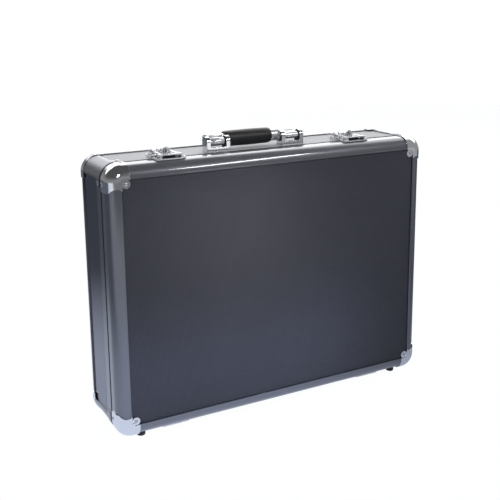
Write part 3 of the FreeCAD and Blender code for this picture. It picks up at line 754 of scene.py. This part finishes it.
class CASE_OT_rivets(bpy.types.Operator):
    """Set domed rivet heads where the caps and braces are riveted"""
    bl_idname = "case.rivets"
    bl_label = "Rivets"

    def execute(self, context):
        sizes = context.scene.case_sizes
        tree = rivet_tree("rivet_heads", FINISHES["steel"])
        for node, body in (("lid_rivets", "lid"), ("base_rivets", "base")):
            middle = middle_of(node)
            places = []
            for centre, low, high in islands(node):
                spans = list(high - low)
                thin = spans.index(min(spans))
                outward = 1.0 if centre[thin] > middle[thin] else -1.0
                if thin == 1:
                    outward = -1.0 if body == "lid" else 1.0
                facing = [0.0, 0.0, 0.0]
                facing[thin] = outward
                seat = centre.copy()
                seat[thin] -= outward * spans[thin] / 2
                places.append((seat, facing))
            piece = grown(body + "_rivet_heads", places, tree, sizes.rivet_radius,
                          sizes.rivet_height)
            settle(piece, body, "rivet", node)
        return {"FINISHED"}


class CASE_OT_latches(bpy.types.Operator):
    """Round the latches' pieces, paint shade into their openings and key slots, and set their screws"""
    bl_idname = "case.latches"
    bl_label = "Latches"

    def execute(self, context):
        sizes = context.scene.case_sizes
        screws = {"lid": [], "base": []}
        for side in SIDES:
            self.latch(side, sizes, screws)
        # The screw heads' dark colour also stands in for the shade of the holes in the latch ears
        tree = rivet_tree("screw_heads", FINISHES["screw"])
        for body, places in screws.items():
            piece = grown(body + "_latch_screws", places, tree, sizes.screw_radius,
                          sizes.screw_height)
            settle(piece, body, "steel_fitting")
        return {"FINISHED"}

    def latch(self, side, sizes, screws):
        """One latch; the places of its four screws are added to those of their bodies."""
        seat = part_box("lid_rail_top")[1][2]
        strike_low, strike_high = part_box("strike_" + side)
        plate_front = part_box("latch_base_" + side)[0][1]
        middle = (strike_low[0] + strike_high[0]) / 2
        lid_screw = ((strike_low[1] + strike_high[1]) / 2, seat + 2.5 * MM)
        base_screw = (plate_front + 9.5 * MM, seat + 3.7 * MM)
        for sign in (-1.0, 1.0):
            ear = middle + sign * (strike_high[0] - middle - sizes.screw_inset)
            screws["lid"].append(((ear, *lid_screw), (0.0, 0.0, 1.0)))
            screws["base"].append(((ear, *base_screw), (0.0, 0.0, 1.0)))

        sill = seat + 1.2 * MM
        lip = strike_low[1] + 0.6 * MM

        # Painted shade: faces inside the strike's opening take the dark colour, in place of the shade
        # that falls there
        def opening(point):
            return abs(point.x - middle) < sizes.window_half and point.z > sill and point.y > lip

        for node, name, body, dark in (("latch_base_", "latch_plate_", "base", None),
                                       ("strike_", "latch_strike_", "lid", opening),
                                       ("lever_", "latch_lever_", "lever_" + side, None),
                                       ("hook_", "latch_hook_", "hook_" + side, None)):
            softened(node + side, name + side, "cast", sizes.edge_round, body, "chrome_fitting",
                     dark)

        barrel_low, barrel_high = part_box("key_barrel_" + side)
        rim = 0.2 * MM
        slot_half = 1.0 * MM

        # Painted shade: a narrow band of the key barrel's faces takes the dark colour, standing in for
        # the shade inside a key slot
        def keyhole(point):
            return (barrel_low[1] + rim < point.y < barrel_high[1] - rim
                    and abs(point.x - middle) < slot_half)

        softened("key_barrel_" + side, "lock_barrel_" + side, "steel",
                 sizes.edge_round * BARREL_ROUND, "barrel_" + side, "steel_fitting", keyhole)


class CASE_OT_handle(bpy.types.Operator):
    """Make the swelling black grip, its bright ends and the two brackets"""
    bl_idname = "case.handle"
    bl_label = "Handle"

    def execute(self, context):
        sizes = context.scene.case_sizes
        self.grip()
        softened("handle_end_right", "handle_ferrule_right", "cast",
                 sizes.edge_round * FERRULE_ROUND, "handle", "chrome_fitting")
        self.elbow(sizes.elbow_radius)
        for side in SIDES:
            self.bracket(side, sizes.edge_round * BRACKET_ROUND)
        return {"FINISHED"}

    def grip(self):
        """A turned grip, fullest at its middle, with rounded shoulders and flat ends."""
        low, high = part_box("handle_grip")
        radius = (high[2] - low[2]) / 2
        half = (high[0] - low[0]) / 2
        end_radius = radius * 0.80
        inset = 0.3 * MM
        fullness = 0.045
        shoulder_share = 0.05
        shoulder_drop = radius * 0.06
        steps = 24
        profile = [(0.0, -half), (end_radius, -half)]
        for k in range(steps + 1):
            place = -1.0 + 2.0 * k / steps
            swell = radius * (1.0 - fullness + fullness * math.cos(place * math.pi / 2))
            shoulder = min(1.0, (1.0 - abs(place)) / shoulder_share)
            profile.append((swell - shoulder_drop * (1.0 - shoulder) ** 2, place * (half - inset)))
        profile += [(end_radius, half), (0.0, half)]
        bm = bmesh.new()
        lathe(bm, profile, middle_of("handle_grip"), (1.0, 0.0, 0.0), sides=64)
        settle(new_piece("grip_moulding", bm, "grip"), "handle", "grip", "handle_grip")

    def elbow(self, radius):
        """The left end: a round knuckle between the posts, with a shoulder that meets the grip."""
        grip_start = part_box("handle_grip")[0][0]
        grip = middle_of("handle_grip")
        bracket_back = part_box("handle_bracket_left")[1][1]
        across = middle_of("handle_bracket_left").x
        pivot = middle_of("handle_pins")
        pivot.x = across
        half = 10.2 * MM
        turn = 1.4 * MM
        ease = turn * 0.3
        end = [(radius, half - turn), (radius - ease, half - ease), (radius - turn, half),
               (0.0, half)]
        bm = bmesh.new()
        lathe(bm, [(reach, -place) for reach, place in reversed(end)] + end, pivot,
              (1.0, 0.0, 0.0), sides=40)
        knuckle = new_piece("knuckle", bm, "cast")
        clearance, overlap, deep, crown = 0.8 * MM, 0.6 * MM, 8.0 * MM, 8.4 * MM
        shoulder = rounded_block(
            "shoulder", (across - half, bracket_back + clearance, grip.z - deep),
            (grip_start + overlap, grip.y + deep, grip.z + crown),
            radius=5.0 * MM, finish="cast", segments=4)
        side_gap, start, drop, rise = 0.4 * MM, 2.4 * MM, 4.5 * MM, 8.2 * MM
        bridge = rounded_block(
            "bridge", (across - half + side_gap, pivot.y + start, pivot.z - drop),
            (across + half - side_gap, grip.y, pivot.z + rise),
            radius=1.5 * MM, finish="cast", segments=3)
        piece = joined("handle_ferrule_left", [shoulder, knuckle, bridge])
        settle(piece, "handle", "chrome_fitting", "handle_end_left")

    def bracket(self, side, width):
        """One bracket, with shade painted inside its window."""
        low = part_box("handle_bracket_" + side)[0]
        centre = middle_of("handle_bracket_" + side).x
        window_half = 11.2 * MM
        wall = low[1] + 2.2 * MM
        sill = low[2] + 1.0 * MM

        # Painted shade: faces inside the window take the dark colour, in place of the shade around the
        # pivot bar
        def window(point):
            return abs(point.x - centre) < window_half and point.y > wall and point.z > sill

        softened("handle_bracket_" + side, "handle_seat_" + side, "chrome", width, "base",
                 "chrome_fitting", window)


class CASE_OT_feet(bpy.types.Operator):
    """Turn the rubber feet with a rounded sole edge and a shallow dish"""
    bl_idname = "case.feet"
    bl_label = "Rubber feet"

    def execute(self, context):
        for node, name, body in (("rubber_feet_front", "front_feet", "lid"),
                                 ("rubber_feet_rear", "rear_feet", "base")):
            bm = bmesh.new()
            for centre, low, high in islands(node):
                radius = (high.x - low.x) / 2
                tall = high.z - low.z
                profile = [(radius * share, height * MM) for share, height in FOOT_PROFILE]
                profile += [(radius, tall), (0.0, tall)]
                lathe(bm, profile, (centre.x, centre.y, low.z), (0.0, 0.0, 1.0), sides=40)
            settle(new_piece(name, bm, "rubber"), body, "rubber_foot", node)
        return {"FINISHED"}


class CASE_OT_liner(bpy.types.Operator):
    """Make the lid's soft liner with rows of crests, drawn in at its edges"""
    bl_idname = "case.liner"
    bl_label = "Lid liner"

    def execute(self, context):
        sizes = context.scene.case_sizes
        low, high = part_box("lid_foam")
        half_x = (high[0] - low[0]) / 2
        half_z = (high[2] - low[2]) / 2
        centre_z = (low[2] + high[2]) / 2
        back = high[1]
        panel_gap = 2.0 * MM
        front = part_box("front_panel")[1][1] + panel_gap
        across, up = 132, 98
        bm = bmesh.new()
        crest = []
        seat = []
        for j in range(up + 1):
            crest.append([])
            seat.append([])
            for i in range(across + 1):
                x = half_x * (2 * i / across - 1)
                z = half_z * (2 * j / up - 1)
                border = min(half_x - abs(x), half_z - abs(z))
                x, z = self.rounded_corner(x, z, half_x, half_z)
                y = back - self.sink(x, z, border, sizes)
                crest[j].append(bm.verts.new((x, min(y, back), z + centre_z)))
                seat[j].append(bm.verts.new((x, front, z + centre_z)))
        for j in range(up):
            for i in range(across):
                for rows, corners in ((crest, ((j, i), (j + 1, i), (j + 1, i + 1), (j, i + 1))),
                                      (seat, ((j, i), (j, i + 1), (j + 1, i + 1), (j + 1, i)))):
                    bm.faces.new([rows[b][a] for b, a in corners])
        rim = [(0, i) for i in range(across)] + [(j, across) for j in range(up)]
        rim += [(up, i) for i in range(across, 0, -1)] + [(j, 0) for j in range(up, 0, -1)]
        for (j, i), (b, a) in zip(rim, rim[1:] + rim[:1]):
            bm.faces.new((crest[j][i], crest[b][a], seat[b][a], seat[j][i]))
        bmesh.ops.recalc_face_normals(bm, faces=bm.faces[:])
        piece = new_piece("lid_liner", bm, "liner", sharp=80.0)
        settle(piece, "lid", "lid_foam", "lid_foam")
        return {"FINISHED"}

    def rounded_corner(self, x, z, half_x, half_z):
        """Draw a grid point in so that the liner's corners are round."""
        corner = 13 * MM
        past_x = abs(x) - half_x + corner
        past_z = abs(z) - half_z + corner
        if past_x > 0.0 and past_z > 0.0:
            pull = max(past_x, past_z) / math.hypot(past_x, past_z)
            x = math.copysign(half_x - corner + past_x * pull, x)
            z = math.copysign(half_z - corner + past_z * pull, z)
        return x, z

    def sink(self, x, z, border, sizes):
        """How far the liner's face lies below the highest crest, given its way to the border."""
        skin = 0.5 * MM
        edge_round = 7 * MM
        ease = 18 * MM
        lump_height = 0.4 * MM
        lumps = 60.0
        turns = 2 * math.pi / sizes.wave_pitch
        wave = 0.5 + 0.5 * math.sin(turns * x) * math.sin(turns * z)
        shoulder = math.sqrt(max(0.0, 1.0 - (1.0 - min(1.0, border / edge_round)) ** 2))
        dip = sizes.wave_depth * (1.0 - wave) * min(1.0, border / ease)
        lump = lump_height * smooth_noise(Vector((x * lumps, 0.0, z * lumps)))
        return skin + dip + lump + (1.0 - shoulder) * edge_round


# Stage

class CASE_OT_stage(bpy.types.Operator):
    """Set up the pale floor, soft lights and the camera"""
    bl_idname = "case.stage"
    bl_label = "Studio"

    def execute(self, context):
        scene = context.scene
        scene.view_settings.view_transform = "Standard"
        self.floor()
        self.world(scene)
        self.lights(scene.case_stage)
        self.camera(scene, scene.case_stage)
        return {"FINISHED"}

    def floor(self):
        """Pale floor: nearly clear to the camera, matt to soft light, glowing in reflections."""
        bm = bmesh.new()
        bmesh.ops.create_grid(bm, x_segments=2, y_segments=2, size=3.0)
        mesh = bpy.data.meshes.new("floor")
        bm.to_mesh(mesh)
        bm.free()
        floor = linked("floor", mesh)
        shade = Finish("pale_floor")
        camera, mirror = shade.rays()
        glossy = mirror * (1.0 - camera)
        place = shade.object_space()
        apart = shade.ramp(shade.parts(place)[1], (-0.35, -0.90), (0.0, 1.0))
        cool, plain = (0.82, 0.89, 1.07, 1.0), (0.97, 0.98, 1.00, 1.0)
        bright = shade.node("ShaderNodeEmission", {"Color": shade.tint(apart, cool, plain),
                                                   "Strength": glossy * self.glow(shade, place)})
        matt = shade.node("ShaderNodeBsdfDiffuse", {"Color": (0.70, 0.80, 0.98, 1.0)})
        clear = shade.node("ShaderNodeBsdfTransparent")
        under = shade.node("ShaderNodeNewGeometry")
        share = 0.92
        lit = shade.node("ShaderNodeMixShader", {0: glossy * share, 1: shade.out(matt),
                                                 2: shade.out(bright)})
        through = (camera * share).most(shade.out(under, "Backfacing"))
        shade.close(shade.node("ShaderNodeMixShader", {0: through, 1: shade.out(lit),
                                                       2: shade.out(clear)}))
        mesh.materials.append(shade.material)
        floor.visible_shadow = False

    def glow(self, shade, place):
        """How bright each part of the floor is where polished faces mirror it."""
        x, y = shade.parts(place)[:2]
        reach = shade.out(shade.node("ShaderNodeVectorMath", {0: place}, operation="LENGTH"),
                          "Value")
        near = (shade.ramp(x, (-0.10, 0.35), (1.0, 0.36))
                * shade.ramp(reach, (0.30, 0.85), (0.85, 0.12), smooth=True))
        slant = x + y * 0.4
        aside = shade.ramp(slant, (0.12, 0.50), (1.0, 0.12))
        wall = shade.ramp(slant, (0.52, 0.72), (0.0, 0.42))
        ahead = shade.ramp(y, (0.0, -0.30), (0.0, 0.85))
        far = shade.ramp(y, (-1.6, -2.2), (1.0, 1.7))
        beyond = shade.ramp(y, (-0.9, -1.4), (0.0, 0.85))
        outer = shade.ramp(slant, (-0.02, -0.22), (0.0, 1.0))
        front = ahead * aside.most(wall) * far * (1.0 - beyond * outer)
        across = (x + 0.22) * 0.61 - (y + 0.05) * 0.79
        band = shade.ramp(across.most(0.0 - across), (0.10, 0.32), (1.0, 0.0))
        streak = band * shade.ramp(x, (-0.75, -1.1), (0.0, 1.0))
        return near.most(front).most(streak)

    def world(self, scene):
        """White to the camera, even to matt faces, with a few bright zones in reflections."""
        world = bpy.data.worlds.new("studio")
        world.use_nodes = True
        scene.world = world
        shade = Finish("studio", world.node_tree)
        camera, glossy = shade.rays()
        toward = shade.out(shade.node("ShaderNodeTexCoord"), "Generated")
        turned = shade.out(shade.node("ShaderNodeVectorMath", {0: toward, 1: (0.49, 0.87, 0.0)},
                                      operation="DOT_PRODUCT"), "Value")
        x, _, z = shade.parts(toward)
        behind = shade.ramp(turned, (0.70, 0.95), (0.0, 0.90))
        before = shade.ramp(z, (0.02, 0.40), (0.26, 0.08))
        above = (shade.ramp(z, (0.28, 0.40), (0.0, 2.1)) * shade.ramp(z, (0.79, 0.86), (1.0, 0.0))
                 * shade.ramp(turned, (0.18, 0.34), (0.0, 1.0)))
        side = shade.ramp(x, (0.42, 0.56), (0.0, 0.30))
        mirrored = behind.most(before).most(above).most(side)
        white, even = 1.06, 0.28
        level = camera * white + (1.0 - camera) * (glossy * mirrored + (1.0 - glossy) * even)
        pale = (1.0, 1.0, 1.0, 1.0)
        back = shade.node("ShaderNodeBackground", {"Color": pale, "Strength": level})
        shade.close(back, "ShaderNodeOutputWorld")

    def lights(self, stage):
        """Five area lamps; those that would show as blots are kept out of reflections."""
        self.lamp("key_light", stage.key_power, place=(-0.35, -1.05, 0.80),
                  target=(-0.03, -0.05, 0.18), size=0.25, spread=30.0)
        self.lamp("cool_light", stage.cool_power, place=(-0.08, -0.60, 0.05),
                  target=(-0.09, -0.05, 0.075), size=0.42, tall=0.06, spread=24.0,
                  colour=(0.62, 0.74, 1.0), glossy=False)
        self.lamp("back_light", stage.back_power, place=(1.1, 1.95, 1.55),
                  target=(0.0, 0.0, 0.18), size=1.9)
        self.lamp("over_light", stage.over_power, place=(-0.1, -0.25, 1.55),
                  target=(0.0, 0.0, 0.35), size=1.0, glossy=False)
        rail = (0.0, -0.05, 0.34)
        strip = self.lamp("strip_light", stage.strip_power, place=(0.488, -0.905, 0.900),
                          target=rail, size=0.08, tall=0.48, diffuse=False)
        along = Vector((0.56, 0.46, 0.39)).normalized()
        away = strip.location - Vector(rail)
        away = (away - along * away.dot(along)).normalized()
        strip.rotation_euler = Matrix((along.cross(away), along, away)).transposed().to_euler()

    def lamp(self, name, power, place, target, size, tall=None, spread=180.0,
             colour=(1.0, 1.0, 1.0), glossy=True, diffuse=True):
        """An area lamp turned to its target: tall makes it a rectangle, spread is in degrees."""
        light = bpy.data.lights.new(name, "AREA")
        light.energy = power
        light.size = size
        if tall:
            light.shape = "RECTANGLE"
            light.size_y = tall
        light.spread = math.radians(spread)
        light.color = colour
        lamp = linked(name, light)
        lamp.location = place
        aim = Vector(target) - Vector(place)
        lamp.rotation_euler = aim.to_track_quat("-Z", "Y").to_euler()
        lamp.visible_camera = False
        lamp.visible_glossy = glossy
        lamp.visible_diffuse = diffuse
        return lamp

    def camera(self, scene, stage):
        camera = bpy.data.cameras.new("camera")
        camera.sensor_width = 36.0
        camera.lens = stage.lens
        camera.shift_x = stage.shift_x
        camera.shift_y = stage.shift_y
        az = stage.azimuth
        el = stage.elevation
        back = Vector((math.sin(az) * math.cos(el), -math.cos(az) * math.cos(el), math.sin(el)))
        right = Vector((0.0, 0.0, 1.0)).cross(back).normalized()
        up = back.cross(right)
        turned = right * math.cos(stage.roll) + up * math.sin(stage.roll)
        upright = up * math.cos(stage.roll) - right * math.sin(stage.roll)
        view = linked("camera", camera)
        view.matrix_world = (Matrix.Translation(Vector(stage.eye))
                             @ Matrix((turned, upright, back)).transposed().to_4x4())
        scene.camera = view


STEPS = (CASE_OT_frame, CASE_OT_grain, CASE_OT_corners, CASE_OT_rivets, CASE_OT_latches,
         CASE_OT_handle, CASE_OT_feet, CASE_OT_liner, CASE_OT_stage)


class CASE_PT_build(bpy.types.Panel):
    """Lists the steps that dress the case"""
    bl_label = "Carrying Case"
    bl_space_type = "VIEW_3D"
    bl_region_type = "UI"
    bl_category = "Case"

    def draw(self, context):
        for step in STEPS:
            self.layout.operator(step.bl_idname)


GROUPS = (("case_finishes", CaseFinishes), ("case_sizes", CaseSizes), ("case_stage", CaseStage))


def register():
    for word, group in GROUPS:
        bpy.utils.register_class(group)
        setattr(bpy.types.Scene, word, bpy.props.PointerProperty(type=group))
    for step in STEPS:
        bpy.utils.register_class(step)
    bpy.utils.register_class(CASE_PT_build)


def unregister():
    bpy.utils.unregister_class(CASE_PT_build)
    for step in reversed(STEPS):
        bpy.utils.unregister_class(step)
    for word, group in reversed(GROUPS):
        delattr(bpy.types.Scene, word)
        bpy.utils.unregister_class(group)


def main():
    register()
    make_finishes(bpy.context.scene.case_finishes, bpy.context.scene.case_sizes)
    for step in STEPS:
        family, word = step.bl_idname.split(".")
        getattr(getattr(bpy.ops, family), word)()


if __name__ == "__main__":
    main()
